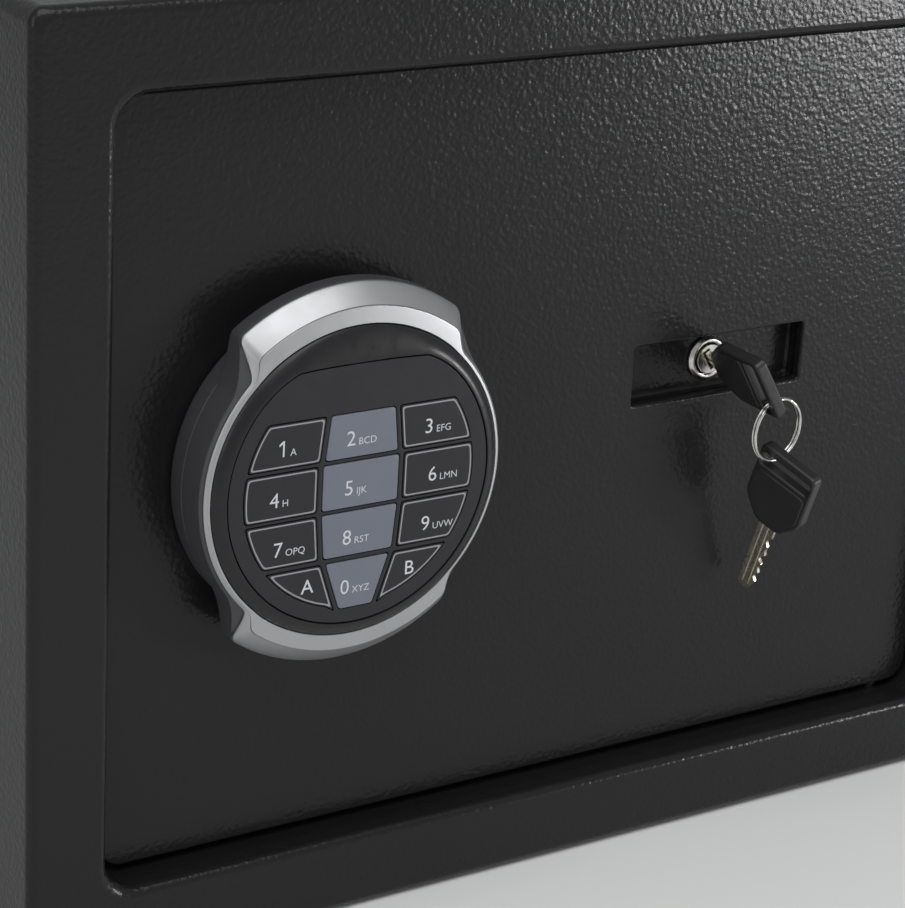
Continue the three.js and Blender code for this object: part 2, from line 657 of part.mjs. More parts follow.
function addPlug() {
  const plug = new THREE.Group();
  plug.position.set(POCKET.x, 0, POCKET.z);
  plug.rotation.y = radians(KEY_IN_LOCK.turn);
  const keyway = KEY_IN_LOCK.bowCentre + KEY.halfLength + KEY.bladeLength + 1.5;
  mesh(plug, "lock_plug", cut(
    rod("y", LOCK.plug, LOCK.front - 0.4, LOCK.back),
    box(
      -KEY.blade / 2 - 0.4, KEY.blade / 2 + 0.4, LOCK.front - 2, keyway,
      -KEY.bladeThickness / 2 - 0.4, KEY.bladeThickness / 2 + 0.4,
    ),
  ), "nickel");
  const camFront = LOCK.back + GAP;
  mesh(plug, "lock_cam", slab(
    roundedRectangle(-20, 6, -5.5, 5.5, 4), camFront, camFront + 3,
  ), "zincSteel");

  const keyInLock = new THREE.Group();
  keyInLock.position.y = KEY_IN_LOCK.bowCentre;
  addKey(keyInLock, "a");
  plug.add(keyInLock);
  return plug;
}

function addRing() {
  const ring = new THREE.Group();
  ring.position.set(RING.x, RING.y, RING.z);
  ring.rotation.z = radians(RING.yaw);
  const half = RING.width / 2;
  mesh(ring, "split_ring", turned([
    [RING.inner, -half], [RING.outer, -half], [RING.outer, half], [RING.inner, half],
    [RING.inner, -half],
  ], 40), "nickel");
  return ring;
}

// The spare key hangs by the left end of its slot from the bottom of the ring.
function addSpareKey() {
  const across = new THREE.Vector3(Math.cos(radians(SPARE.yaw)), -Math.sin(radians(SPARE.yaw)), 0);
  const up = new THREE.Vector3(0, 0, 1);
  const tilt = radians(SPARE.tilt);
  const width = across.clone().multiplyScalar(Math.cos(tilt)).addScaledVector(up, -Math.sin(tilt));
  const length = across.clone().multiplyScalar(-Math.sin(tilt)).addScaledVector(up, -Math.cos(tilt));
  length.applyAxisAngle(width, radians(SPARE.lean));
  const normal = new THREE.Vector3().crossVectors(width, length);
  const spare = new THREE.Group();
  spare.quaternion.setFromRotationMatrix(new THREE.Matrix4().makeBasis(width, length, normal));
  spare.position.set(RING.x, RING.y, RING.z - (RING.outer + RING.inner) / 2);
  spare.position.addScaledVector(width, -SPARE.grip).addScaledVector(length, -SPARE.gripAt);
  addKey(spare, "b");
  return spare;
}

// ---------------------------------------------------------------- assembly
addBody();
addDoorSheets();
addHinges();
addLock();
addBoltGuides();
addElectrics();
mesh(door, "battery_cover",
  batteryHatch(0, COVER_FRONT, COVER_FRONT + COVER_SHEET), "innerPaint");
addHandleBody();
addKeypad();
addSpindle();
addBoltWork();
addPlunger();
door.add(handle, boltWork, addPlug(), addRing(), addSpareKey());
safe.add(door);

export default safe;
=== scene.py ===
"""Looks of an electronic home safe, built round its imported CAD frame.

Lengths are in millimetres until they reach a mesh, where MM turns them into metres.
"""
import json
import math

import bmesh
import bpy
from mathutils import Matrix, Vector


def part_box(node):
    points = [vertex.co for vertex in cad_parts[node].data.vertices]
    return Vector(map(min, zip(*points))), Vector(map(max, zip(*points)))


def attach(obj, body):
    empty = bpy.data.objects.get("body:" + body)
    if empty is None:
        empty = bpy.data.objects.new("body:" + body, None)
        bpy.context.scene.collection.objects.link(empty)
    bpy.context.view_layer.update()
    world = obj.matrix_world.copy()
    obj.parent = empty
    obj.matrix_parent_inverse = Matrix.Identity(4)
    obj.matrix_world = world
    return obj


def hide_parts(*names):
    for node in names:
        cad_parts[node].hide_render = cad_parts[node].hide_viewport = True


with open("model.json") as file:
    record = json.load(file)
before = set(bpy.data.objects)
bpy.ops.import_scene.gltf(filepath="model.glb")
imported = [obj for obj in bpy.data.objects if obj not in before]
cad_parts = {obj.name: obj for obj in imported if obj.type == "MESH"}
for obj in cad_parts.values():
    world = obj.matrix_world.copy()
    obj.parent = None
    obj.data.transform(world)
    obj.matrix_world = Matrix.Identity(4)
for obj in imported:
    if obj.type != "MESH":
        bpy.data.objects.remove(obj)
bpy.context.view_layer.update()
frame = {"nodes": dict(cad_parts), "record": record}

MM = 0.001
TAU = 2 * math.pi


def mm_box(node):
    """Lowest and highest corner of a CAD node, in millimetres."""
    low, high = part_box(node)
    return Vector(low) / MM, Vector(high) / MM


# ---------------------------------------------------------------- places taken from the frame
FRAME_LOW, FRAME_HIGH = mm_box("front_frame")
BODY_LOW, BODY_HIGH = mm_box("body_shell")
DOOR_LOW, DOOR_HIGH = mm_box("door_plate")
COLLAR_LOW, COLLAR_HIGH = mm_box("grip_collar")
BEZEL_LOW, BEZEL_HIGH = mm_box("face_bezel")
SKIRT_LOW, SKIRT_HIGH = mm_box("handle_body")
POCKET_LOW, POCKET_HIGH = mm_box("lock_pocket")
LOCK_LOW, LOCK_HIGH = mm_box("lock_housing")
RING_LOW, RING_HIGH = mm_box("split_ring")

DOOR_FACE = DOOR_LOW.y
HANDLE_X = (COLLAR_LOW.x + COLLAR_HIGH.x) / 2
HANDLE_Z = (COLLAR_LOW.z + COLLAR_HIGH.z) / 2
FACE_EDGE = COLLAR_LOW.y
FACE_TOP = BEZEL_LOW.y
LOCK_X = (LOCK_LOW.x + LOCK_HIGH.x) / 2
LOCK_Z = (LOCK_LOW.z + LOCK_HIGH.z) / 2
POCKET_SHEET = 1.6
POCKET_FLOOR = POCKET_HIGH.y - POCKET_SHEET

# ---------------------------------------------------------------- sizes of the fine shapes
BORDER = 26
PANEL_RADIUS = 44.5
PANEL_FLAT = 38.5
GRIP_WAIST = 51.6
GRIP_RADIUS = (COLLAR_HIGH.z - COLLAR_LOW.z) / 2
GRIP_FLAT_ANGLE = 37.6
GRIP_END_ANGLE = 55
GRIP_DROP = 7.1
SILVER_WAIST = 50.8
SILVER_FLAT_ANGLE = 38.3
SILVER_END_ANGLE = 45.5
KEY_CIRCLE = 39.2
KEY_COLUMN = 2
KEY_LOWEST = 0.965
# Top and bottom of each row of keys, the centre key's half widths there, and for each key what is
# printed on it and the middle of its first character.
KEY_ROWS = [
    (22.9, 9.1, 10.8, 12.3, (("1", "A", -27), ("2", "BCD", -4), ("3", "EFG", 23))),
    (7.5, -6.8, 12.9, 12.9, (("4", "H", -29.2), ("5", "IJK", -4), ("6", "LMN", 25.1))),
    (-8.3, -22.3, 12.9, 11.7, (("7", "OPQ", -27.5), ("8", "RST", -4), ("9", "UVW", 23.5))),
    (-24.2, -39.5, 10.8, 5.7, (("a", "", -17), ("0", "XYZ", -4), ("b", "", 18.5))),
]
BASELINES = (12.8, -2.9, -18.8, -34.9)


# ---------------------------------------------------------------- camera, floor and light
def add_camera():
    """A long lens, left of the keypad and above it, rolled a little."""
    azimuth, elevation, roll = map(math.radians, (-33.379, 20.765, 3.419))
    distance = 892.05
    target = Vector((HANDLE_X + 48.5, DOOR_FACE, HANDLE_Z - 6.8))
    back = Vector((
        math.sin(azimuth) * math.cos(elevation),
        -math.cos(azimuth) * math.cos(elevation),
        math.sin(elevation),
    ))
    right = (-back).cross(Vector((0, 0, 1))).normalized()
    up = right.cross(-back)
    rolled_right = right * math.cos(roll) + up * math.sin(roll)
    rolled_up = up * math.cos(roll) - right * math.sin(roll)
    data = bpy.data.cameras.new("camera")
    data.lens = 112.8
    data.sensor_width = 36
    data.clip_start, data.clip_end = 0.05, 50
    camera = bpy.data.objects.new("camera", data)
    bpy.context.scene.collection.objects.link(camera)
    axes = Matrix((rolled_right, rolled_up, back)).transposed()
    camera.matrix_world = Matrix.Translation((target + back * distance) * MM) @ axes.to_4x4()
    bpy.context.scene.camera = camera


def add_area_light(name, place, aim, size, power, spread=180):
    data = bpy.data.lights.new(name, "AREA")
    data.shape = "RECTANGLE"
    data.size, data.size_y = size
    data.energy = power
    data.spread = math.radians(spread)
    lamp = bpy.data.objects.new(name, data)
    lamp.location = place
    direction = Vector(aim) - Vector(place)
    lamp.rotation_euler = direction.to_track_quat("-Z", "Y").to_euler()
    lamp.visible_camera = False
    bpy.context.scene.collection.objects.link(lamp)


def add_backdrop(tree):
    """Shows the camera a plain backdrop that meets the far floor without a line."""
    lighting = tree.nodes["Background"]
    seen = tree.nodes.new("ShaderNodeBackground")
    seen.inputs["Color"].default_value = (0.37, 0.373, 0.376, 1)
    path = tree.nodes.new("ShaderNodeLightPath")
    mix = tree.nodes.new("ShaderNodeMixShader")
    tree.links.new(path.outputs["Is Camera Ray"], mix.inputs[0])
    tree.links.new(lighting.outputs["Background"], mix.inputs[1])
    tree.links.new(seen.outputs["Background"], mix.inputs[2])
    tree.links.new(mix.outputs["Shader"], tree.nodes["World Output"].inputs["Surface"])


def add_studio():
    door = Vector((0.06, DOOR_FACE * MM, 0.2))
    add_area_light("top_softbox", (-0.2, -0.7, 1.4), (0, -0.2, 0.1), (1.3, 1.0), 9.5)
    add_area_light("low_softbox", (1.0, -1.0, 0.13), door, (0.3, 0.22), 0.6, spread=60)
    add_area_light("left_softbox", (-1.3, -0.5, 0.7), (0, 0, 0.15), (0.5, 0.9), 2.0)
    world = bpy.data.worlds.new("studio")
    world.use_nodes = True
    world.node_tree.nodes["Background"].inputs["Color"].default_value = (0.93, 0.94, 0.95, 1)
    world.node_tree.nodes["Background"].inputs["Strength"].default_value = 0.41
    add_backdrop(world.node_tree)
    bpy.context.scene.world = world
    bpy.context.scene.view_settings.view_transform = "Standard"

    floor_mesh = bpy.data.meshes.new("floor")
    far = 6
    level = BODY_LOW.z * MM - 0.0004
    corners = [(-far, -far, level), (far, -far, level), (far, far, level), (-far, far, level)]
    floor_mesh.from_pydata(corners, [], [(0, 1, 2, 3)])
    floor = bpy.data.objects.new("floor", floor_mesh)
    bpy.context.scene.collection.objects.link(floor)
    floor_mesh.materials.append(Look("floor", (0.9, 0.9, 0.9), 0.7).material)


# ---------------------------------------------------------------- materials
class Look:
    """A material built node by node round one Principled shader."""

    def __init__(self, name, colour, roughness, metallic=0.0, specular=0.5, coat=0.0):
        self.material = bpy.data.materials.new(name)
        self.material.use_nodes = True
        self.nodes = self.material.node_tree.nodes
        self.links = self.material.node_tree.links
        self.shader = self.nodes["Principled BSDF"]
        self.set("Base Color", (*colour, 1))
        self.set("Roughness", roughness)
        self.set("Metallic", metallic)
        self.set("Specular IOR Level", specular)
        self.set("Coat Weight", coat)
        self.place = self.nodes.new("ShaderNodeTexCoord").outputs["Object"]
        self.height = None

    def set(self, socket, value):
        self.shader.inputs[socket].default_value = value

    def stretch(self, scale):
        """Object coordinates scaled differently along each axis."""
        mapping = self.nodes.new("ShaderNodeMapping")
        mapping.inputs["Scale"].default_value = scale
        self.links.new(self.place, mapping.inputs["Vector"])
        return mapping.outputs["Vector"]

    def noise(self, scale, detail=3, place=None):
        node = self.nodes.new("ShaderNodeTexNoise")
        node.inputs["Scale"].default_value = scale
        node.inputs["Detail"].default_value = detail
        self.links.new(place or self.place, node.inputs["Vector"])
        return node.outputs["Fac"]

    def cells(self, scale, feature="SMOOTH_F1", place=None):
        node = self.nodes.new("ShaderNodeTexVoronoi")
        node.feature = feature
        node.inputs["Scale"].default_value = scale
        self.links.new(place or self.place, node.inputs["Vector"])
        return node.outputs["Distance"]

    def remap(self, value, low, high, to_low=0.0, to_high=1.0):
        node = self.nodes.new("ShaderNodeMapRange")
        node.inputs["From Min"].default_value = low
        node.inputs["From Max"].default_value = high
        node.inputs["To Min"].default_value = to_low
        node.inputs["To Max"].default_value = to_high
        self.links.new(value, node.inputs["Value"])
        return node.outputs["Result"]

    def colour(self, factor, first, second):
        """Base colour running from first to second as factor goes from 0 to 1."""
        node = self.nodes.new("ShaderNodeMix")
        node.data_type = "RGBA"
        node.inputs["A"].default_value = (*first, 1)
        node.inputs["B"].default_value = (*second, 1)
        self.links.new(factor, node.inputs["Factor"])
        self.links.new(node.outputs["Result"], self.shader.inputs["Base Color"])
        return self

    def roughness(self, value, low, high):
        self.links.new(self.remap(value, 0.3, 0.7, low, high), self.shader.inputs["Roughness"])
        return self

    def bump(self, value, depth, strength=1.0):
        """Adds a bump whose full height is depth, in millimetres."""
        node = self.nodes.new("ShaderNodeBump")
        node.inputs["Strength"].default_value = strength
        node.inputs["Distance"].default_value = depth * MM
        self.links.new(value, node.inputs["Height"])
        if self.height:
            self.links.new(self.height, node.inputs["Normal"])
        self.height = node.outputs["Normal"]
        self.links.new(self.height, self.shader.inputs["Normal"])
        return self


def powder_coat():
    look = Look("powder_coat", (0.0125, 0.0125, 0.0135), 0.22, specular=0.27)
    look.bump(look.cells(700), 0.11, 0.9)
    look.bump(look.noise(560, 3), 0.14, 0.9)
    look.bump(look.noise(2600, 2), 0.006, 0.5)
    look.colour(look.noise(14, 3), (0.0115, 0.0115, 0.0125), (0.0135, 0.0135, 0.0145))
    look.roughness(look.noise(500, 3), 0.18, 0.26)
    return look.material


def inner_paint():
    look = Look("inner_paint", (0.035, 0.036, 0.038), 0.5)
    look.bump(look.noise(1800, 3), 0.03, 0.6)
    look.colour(look.noise(20, 3), (0.031, 0.032, 0.034), (0.04, 0.041, 0.044))
    look.roughness(look.noise(300, 3), 0.42, 0.58)
    return look.material


def satin_silver():
    look = Look("satin_silver", (0.445, 0.45, 0.46), 0.4, metallic=0.85)
    look.bump(look.noise(3400, 2), 0.002, 0.4)
    look.colour(look.noise(60, 4), (0.42, 0.424, 0.434), (0.47, 0.474, 0.484))
    look.roughness(look.noise(160, 3), 0.37, 0.43)
    return look.material


def dark_plastic():
    look = Look("dark_plastic", (0.058, 0.058, 0.063), 0.4)
    look.bump(look.noise(2400, 3), 0.012, 0.6)
    look.bump(look.cells(3600), 0.006, 0.5)
    look.colour(look.noise(40, 3), (0.053, 0.053, 0.058), (0.063, 0.063, 0.068))
    look.roughness(look.noise(180, 3), 0.36, 0.48)
    return look.material


def gloss_black():
    look = Look("gloss_black", (0.0125, 0.0125, 0.014), 0.3, specular=0.37)
    look.bump(look.noise(1500, 2), 0.003, 0.5)
    look.colour(look.noise(50, 3), (0.0115, 0.0115, 0.013), (0.0145, 0.0145, 0.016))
    look.roughness(look.noise(220, 3), 0.25, 0.35)
    return look.material


def bow_plastic():
    look = Look("bow_plastic", (0.022, 0.022, 0.0235), 0.34, specular=0.45)
    look.bump(look.noise(1800, 3), 0.006, 0.5)
    look.colour(look.noise(60, 3), (0.02, 0.02, 0.0215), (0.025, 0.025, 0.0265))
    look.roughness(look.noise(240, 3), 0.28, 0.4)
    return look.material


def panel_black():
    look = Look("panel_black", (0.0165, 0.0165, 0.019), 0.34, specular=0.36)
    look.bump(look.noise(3000, 2), 0.003, 0.5)
    look.colour(look.noise(70, 3), (0.015, 0.015, 0.0175), (0.018, 0.018, 0.0205))
    look.roughness(look.noise(260, 3), 0.31, 0.42)
    return look.material


def key_blue():
    look = Look("key_blue", (0.15, 0.165, 0.205), 0.4)
    look.bump(look.noise(3000, 2), 0.003, 0.5)
    look.colour(look.noise(90, 3), (0.14, 0.155, 0.195), (0.16, 0.175, 0.215))
    look.roughness(look.noise(260, 3), 0.35, 0.46)
    return look.material


def print_white():
    look = Look("print_white", (0.62, 0.63, 0.66), 0.5)
    look.bump(look.noise(2500, 2), 0.004, 0.5)
    look.colour(look.noise(1200, 3), (0.56, 0.57, 0.6), (0.68, 0.69, 0.72))
    return look.material


def outline_grey():
    look = Look("outline_grey", (0.3, 0.3, 0.33), 0.5)
    look.bump(look.noise(2500, 2), 0.004, 0.5)
    look.colour(look.noise(900, 3), (0.25, 0.25, 0.275), (0.35, 0.35, 0.38))
    return look.material


def nickel():
    look = Look("nickel", (0.62, 0.61, 0.59), 0.2, metallic=1.0)
    look.bump(look.noise(1400, 4), 0.006, 0.5)
    look.colour(look.noise(300, 4), (0.54, 0.53, 0.51), (0.7, 0.69, 0.67))
    look.roughness(look.noise(700, 4), 0.14, 0.3)
    return look.material


def brass():
    look = Look("brass", (0.68, 0.62, 0.5), 0.26, metallic=1.0)
    look.bump(look.noise(1500, 3), 0.008, 0.5)
    look.colour(look.noise(380, 4), (0.56, 0.49, 0.37), (0.8, 0.76, 0.66))
    look.roughness(look.noise(600, 4), 0.18, 0.36)
    return look.material


def zinc_steel():
    look = Look("zinc_steel", (0.5, 0.51, 0.53), 0.36, metallic=1.0)
    brushed = look.noise(1, 4, look.stretch((120, 120, 2600)))
    look.bump(brushed, 0.01, 0.5)
    look.colour(look.noise(90, 5), (0.42, 0.43, 0.45), (0.58, 0.59, 0.61))
    look.roughness(look.noise(260, 4), 0.28, 0.46)
    return look.material


def board_green():
    look = Look("board_green", (0.012, 0.075, 0.035), 0.35, coat=0.3)
    tracks = look.cells(420, "F1", look.stretch((1, 1, 0.25)))
    look.bump(look.remap(tracks, 0.2, 0.3), 0.03, 0.7)
    look.colour(look.remap(tracks, 0.18, 0.3), (0.02, 0.12, 0.055), (0.01, 0.06, 0.028))
    return look.material


def cell_sleeve():
    look = Look("cell_sleeve", (0.05, 0.09, 0.2), 0.3, metallic=0.3)
    look.colour(look.noise(30, 3), (0.04, 0.075, 0.17), (0.06, 0.105, 0.23))
    look.bump(look.noise(900, 3), 0.01, 0.5)
    look.roughness(look.noise(200, 3), 0.24, 0.38)
    return look.material


def felt():
    look = Look("felt", (0.045, 0.046, 0.05), 0.95)
    look.set("Sheen Weight", 0.35)
    look.bump(look.noise(1600, 6), 0.5, 0.9)
    look.bump(look.cells(700), 0.25, 0.5)
    look.colour(look.noise(500, 6), (0.03, 0.031, 0.034), (0.07, 0.071, 0.076))
    return look.material


def lead_red():
    look = Look("lead_red", (0.3, 0.015, 0.012), 0.45)
    look.bump(look.noise(700, 3), 0.02, 0.5)
    look.colour(look.noise(60, 3), (0.26, 0.012, 0.01), (0.34, 0.02, 0.015))
    return look.material


LOOKS = {}


def look(slot_name):
    makers = {
        "powder_coat": powder_coat, "inner_paint": inner_paint, "zinc_steel": zinc_steel,
        "satin_silver": satin_silver, "dark_plastic": dark_plastic, "gloss_black": gloss_black,
        "bow_plastic": bow_plastic, "key_black": panel_black, "key_blue": key_blue,
        "brass": brass, "nickel": nickel, "board": board_green, "cell": cell_sleeve,
        "felt": felt, "lead": lead_red,
        "print": print_white, "outline": outline_grey,
    }
    if slot_name not in LOOKS:
        LOOKS[slot_name] = makers[slot_name]()
    return LOOKS[slot_name]


# ---------------------------------------------------------------- outlines, as [x, z] points
def arc(cx, cz, radius, start, end, steps):
    """Points of an arc, its angles in degrees from +x towards +z."""
    angles = [math.radians(start + (end - start) * i / steps) for i in range(steps + 1)]
    return [(cx + radius * math.cos(a), cz + radius * math.sin(a)) for a in angles]


def rounded_rectangle(x0, x1, z0, z1, radius, steps=6):
    return (
        arc(x1 - radius, z0 + radius, radius, -90, 0, steps)
        + arc(x1 - radius, z1 - radius, radius, 0, 90, steps)
        + arc(x0 + radius, z1 - radius, radius, 90, 180, steps)
        + arc(x0 + radius, z0 + radius, radius, 180, 270, steps)
    )


def circle(cx, cz, radius, steps=64):
    return arc(cx, cz, radius, 0, 360, steps)[:-1]


def rounded(corners, radius, steps=5):
    """A closed polygon with each corner turned into a smooth arc."""
    points = []
    count = len(corners)
    for i, corner in enumerate(corners):
        here = Vector(corner)
        before = Vector(corners[i - 1]) - here
        after = Vector(corners[(i + 1) % count]) - here
        reach = min(radius, 0.48 * before.length, 0.48 * after.length)
        first = here + before.normalized() * reach
        last = here + after.normalized() * reach
        if abs(before.angle(after) - math.pi) < 0.15:
            points.append(tuple(here))
            continue
        for k in range(steps + 1):
            t = k / steps
            bend = first * (1 - t) ** 2 + here * (2 * t * (1 - t)) + last * t * t
            points.append(tuple(bend))
    return points


def area(points):
    pairs = zip(points, points[1:] + points[:1])
    return sum(a[0] * b[1] - b[0] * a[1] for a, b in pairs) / 2


def smooth(points, softness, spacing=0.3):
    """The outline resampled evenly, with its corners eased over about softness each way."""
    count = len(points)
    even = []
    for i, point in enumerate(points):
        here, there = Vector(point), Vector(points[(i + 1) % count])
        pieces = max(1, round((there - here).length / spacing))
        even += [here.lerp(there, k / pieces) for k in range(pieces)]
    reach = max(1, round(softness / spacing / 2))
    for _ in range(2):
        total = len(even)
        even = [
            sum((even[(i + k) % total] for k in range(-reach, reach + 1)), Vector((0, 0)))
            / (2 * reach + 1)
            for i in range(total)
        ]
    return [tuple(point) for point in even]


def inset(points, distance):
    """The outline moved inwards by distance, or outwards if it is negative."""
    sign = 1 if area(points) > 0 else -1
    moved = []
    count = len(points)
    for i, point in enumerate(points):
        here = Vector(point)
        back = (here - Vector(points[i - 1])).normalized()
        forth = (Vector(points[(i + 1) % count]) - here).normalized()
        along = (back + forth).normalized()
        normal = Vector((-along.y, along.x)) * sign
        cosine = max(0.2, along.dot(back))
        moved.append(tuple(here + normal * distance / cosine))
    return moved


# ---------------------------------------------------------------- mesh building
def finish_mesh(name, bm, body, slot_names, replaces=(), crease=32):
    """Turns the faces outwards, shades them, and puts the piece on its body."""
    mesh = bpy.data.meshes.new(name)
    bmesh.ops.remove_doubles(bm, verts=bm.verts, dist=1e-7)
    bmesh.ops.dissolve_degenerate(bm, edges=bm.edges, dist=1e-8)
    bmesh.ops.recalc_face_normals(bm, faces=bm.faces)
    bm.to_mesh(mesh)
    bm.free()
    mesh.shade_smooth()
    mesh.set_sharp_from_angle(angle=math.radians(crease))
    piece = bpy.data.objects.new(name, mesh)
    bpy.context.scene.collection.objects.link(piece)
    slot_names = [slot_names] if isinstance(slot_names, str) else slot_names
    for slot_name in slot_names:
        mesh.materials.append(look(slot_name))
    weighted = piece.modifiers.new("weighted", "WEIGHTED_NORMAL")
    weighted.keep_sharp = True
    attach(piece, body)
    if replaces:
        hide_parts(*([replaces] if isinstance(replaces, str) else replaces))
    return piece


def bm_loop(bm, points, y):
    return [bm.verts.new((x * MM, y * MM, z * MM)) for x, z in points]


def bridge(bm, first, second, material=0):
    count = len(first)
    for i in range(count):
        j = (i + 1) % count
        face = bm.faces.new((first[i], first[j], second[j], second[i]))
        face.material_index = material


def edges_of(bm, loop):
    count = len(loop)
    pairs = [(loop[i], loop[(i + 1) % count]) for i in range(count)]
    return [bm.edges.get(pair) or bm.edges.new(pair) for pair in pairs]


def add_plate(bm, outlines, front, back, edge, steps=3, material=0, round_back=True):
    """A flat plate between two y planes, its outer outline first and then its holes."""
    caps = {front: [], back: []}
    for index, points in enumerate(outlines):
        side = 1 if index == 0 else -1
        rings = []
        for k in range(steps + 1):
            turn = math.pi / 2 * k / steps
            rings.append((edge * (1 - math.sin(turn)), front + edge * (1 - math.cos(turn))))
        if round_back:
            rings += [(shift, front + back - y) for shift, y in reversed(rings)]
        else:
            rings.append((0, back))
        loops = [bm_loop(bm, inset(points, side * shift), y) for shift, y in rings]
        for first, second in zip(loops, loops[1:]):
            bridge(bm, first, second, material)
        caps[front] += edges_of(bm, loops[0])
        caps[back] += edges_of(bm, loops[-1])
    for edges in caps.values():
        made = bmesh.ops.triangle_fill(bm, edges=edges, use_beauty=True)
        for item in made["geom"]:
            if isinstance(item, bmesh.types.BMFace):
                item.material_index = material


def plate(name, outlines, front, back, edge, body, slot_name, replaces=(), **options):
    bm = bmesh.new()
    add_plate(bm, outlines, front, back, edge, **options)
    return finish_mesh(name, bm, body, slot_name, replaces)


def soften(profile, radius, steps=4):
    """An open [radius, y] profile with its corners rounded."""
    points = [profile[0]]
    for before, corner, after in zip(profile, profile[1:], profile[2:]):
        here = Vector(corner)
        to_before = Vector(before) - here
        to_after = Vector(after) - here
        reach = min(radius, 0.45 * to_before.length, 0.45 * to_after.length)
        first = here + to_before.normalized() * reach
        last = here + to_after.normalized() * reach
        for k in range(steps + 1):
            t = k / steps
            points.append(tuple(first * (1 - t) ** 2 + here * (2 * t * (1 - t)) + last * t * t))
    return points + [profile[-1]]


def add_lathe(bm, profile, cx, cz, sides=96, material=0):
    """Turns [radius, y] points round an axis along y. Points on the axis close the shape."""
    loops = []
    for radius, y in profile:
        if radius < 1e-6:
            loops.append(bm.verts.new((cx * MM, y * MM, cz * MM)))
        else:
            loops.append(bm_loop(bm, circle(cx, cz, radius, sides), y))
    for first, second in zip(loops, loops[1:]):
        if isinstance(first, list) and isinstance(second, list):
            bridge(bm, first, second, material)
            continue
        tip, loop = (first, second) if isinstance(second, list) else (second, first)
        for i in range(sides):
            face = bm.faces.new((tip, loop[i], loop[(i + 1) % sides]))
            face.material_index = material


def lathe(name, profile, cx, cz, body, slot_name, replaces=(), sides=96, radius=0.3):
    bm = bmesh.new()
    add_lathe(bm, soften(profile, radius), cx, cz, sides)
    return finish_mesh(name, bm, body, slot_name, replaces)


def add_text(bm, words, height, x, z, y, material, centred=True, weight=0.0):
    """Lettering with a little thickness, facing -y, its baseline at z."""
    curve = bpy.data.curves.new("lettering", "FONT")
    curve.body = words
    curve.size = height * 1.37 * MM
    curve.align_x = "CENTER" if centred else "LEFT"
    curve.extrude = 0.03 * MM
    curve.offset = weight * MM
    curve.resolution_u = 3
    holder = bpy.data.objects.new("lettering", curve)
    bpy.context.scene.collection.objects.link(holder)
    bpy.context.view_layer.update()
    mesh = bpy.data.meshes.new_from_object(holder)
    mesh.transform(
        Matrix.Translation(Vector((x, y, z)) * MM) @ Matrix.Rotation(math.pi / 2, 4, "X")
    )
    for polygon in mesh.polygons:
        polygon.material_index = material
    bm.from_mesh(mesh)
    bpy.data.objects.remove(holder)
    bpy.data.curves.remove(curve)
    bpy.data.meshes.remove(mesh)


def add_one(bm, x, z, y, material):
    """The figure 1, with the flag that the lettering's own figure lacks."""
    right, stroke, top = 0.55, 0.55, 4.9
    corners = [
        (right, 0), (right, top), (right - stroke, top), (right - 1.75, top - 1.0),
        (right - 1.75, top - 1.65), (right - stroke, top - 0.85), (right - stroke, 0),
    ]
    outline = [(x + dx, z + dz) for dx, dz in corners]
    add_plate(bm, [outline], y - 0.03, y + 0.03, 0.005, steps=1, material=material)


# ---------------------------------------------------------------- body
def add_shell():
    """The outer skin and the front frame, folded from one sheet and welded."""
    half_x, half_z = FRAME_HIGH.x, (FRAME_HIGH.z - FRAME_LOW.z) / 2
    middle = half_z + FRAME_LOW.z
    front, lip_end, back = FRAME_LOW.y, FRAME_HIGH.y, BODY_HIGH.y
    sheet, wall, fold, bend = 3, 4, 3.5, 3.2
    section = []  # how far in from the outer skin, y, and the corner radius
    section.append((0, back - 0.6, 5))
    section.append((0, front + fold, 5))
    for dx, dz in arc(fold, 0, fold, 180, 90, 5)[1:]:
        section.append((dx, front + fold - dz, 5))
    section.append((BORDER - bend, front, 12))
    for dx, dz in arc(0, 0, bend, 90, 0, 6)[1:]:
        section.append((BORDER - bend + dx, front + bend - dz, 11))
    section.append((BORDER, lip_end - 1, 10))
    section.append((BORDER - 0.8, lip_end, 10))
    section.append((BORDER - sheet, lip_end, 12))
    section.append((BORDER - sheet, front + sheet, 12))
    section.append((wall, front + sheet, 3))
    section.append((wall, back, 3))
    section.append((0.6, back, 5))

    bm = bmesh.new()
    loops = []
    for depth, y, radius in section:
        outline = rounded_rectangle(
            -half_x + depth, half_x - depth,
            middle - half_z + depth, middle + half_z - depth, radius, 8,
        )
        loops.append(bm_loop(bm, outline, y))
    for first, second in zip(loops, loops[1:] + loops[:1]):
        bridge(bm, first, second)
    finish_mesh("safe_body", bm, "cabinet", "powder_coat", ("body_shell", "front_frame"))


def add_back_panel():
    low, high = mm_box("back_panel")
    anchor_x, anchor_radius = 120, 6
    middle = (low.z + high.z) / 2
    anchors = [circle(x, middle, anchor_radius, 40) for x in (-anchor_x, anchor_x)]
    outline = rounded_rectangle(low.x, high.x, low.z, high.z, 3)
    plate("rear_panel", [outline] + anchors, low.y, high.y, 0.5, "cabinet", "powder_coat",
          "back_panel")


# ---------------------------------------------------------------- door
def pocket_outline(margin, radius=1.0):
    wall = 5
    return rounded_rectangle(
        POCKET_LOW.x + wall - margin, POCKET_HIGH.x - wall + margin,
        POCKET_LOW.z + wall - margin, POCKET_HIGH.z - wall + margin, radius,
    )


